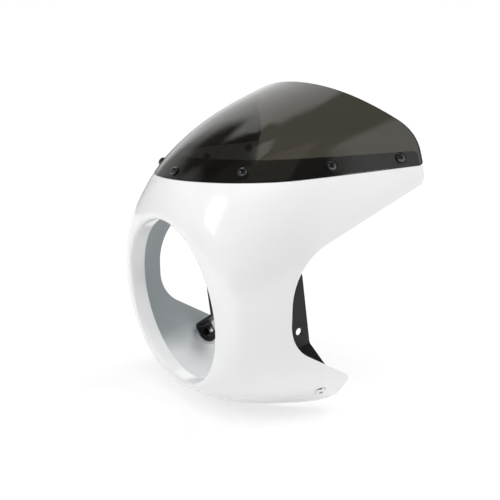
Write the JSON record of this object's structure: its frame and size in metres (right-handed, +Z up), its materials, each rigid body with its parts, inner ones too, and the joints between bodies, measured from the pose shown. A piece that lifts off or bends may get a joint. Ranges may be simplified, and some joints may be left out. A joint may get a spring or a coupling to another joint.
{
  "type": "cafe racer fairing",
  "caption": "Motorbike headlight fairing: a white moulded shell with a round lamp opening and fork cut-outs, a smoked screen on top and bent steel brackets inside.",
  "frame": {"origin": "on the axis of the headlight opening, half way along its return wall", "axes": "+Z up, -Y the way the headlight looks, +X to the rider's left as seen in the picture"},
  "size_m": [0.3234, 0.2369, 0.3638],
  "materials": {
    "white_shell": "glossy white lacquer over moulded plastic",
    "smoked_screen": "clear polished sheet with a dark smoke tint",
    "black_screws": "glossy black",
    "black_nylon": "smooth black nylon",
    "black_bracket": "satin black powder coat",
    "bright_steel": "turned and plated steel"
  },
  "bodies": {
    "root": {"fairing_shell": "white_shell", "windscreen": "smoked_screen", "screen_screws": "black_screws", "screen_washers": "black_nylon", "screen_nuts": "black_screws", "bracket_left": "black_bracket", "bracket_right": "black_bracket", "bracket_bolts": "bright_steel", "bracket_washers": "black_screws", "bracket_nuts": "black_screws"}
  },
  "joints": []
}
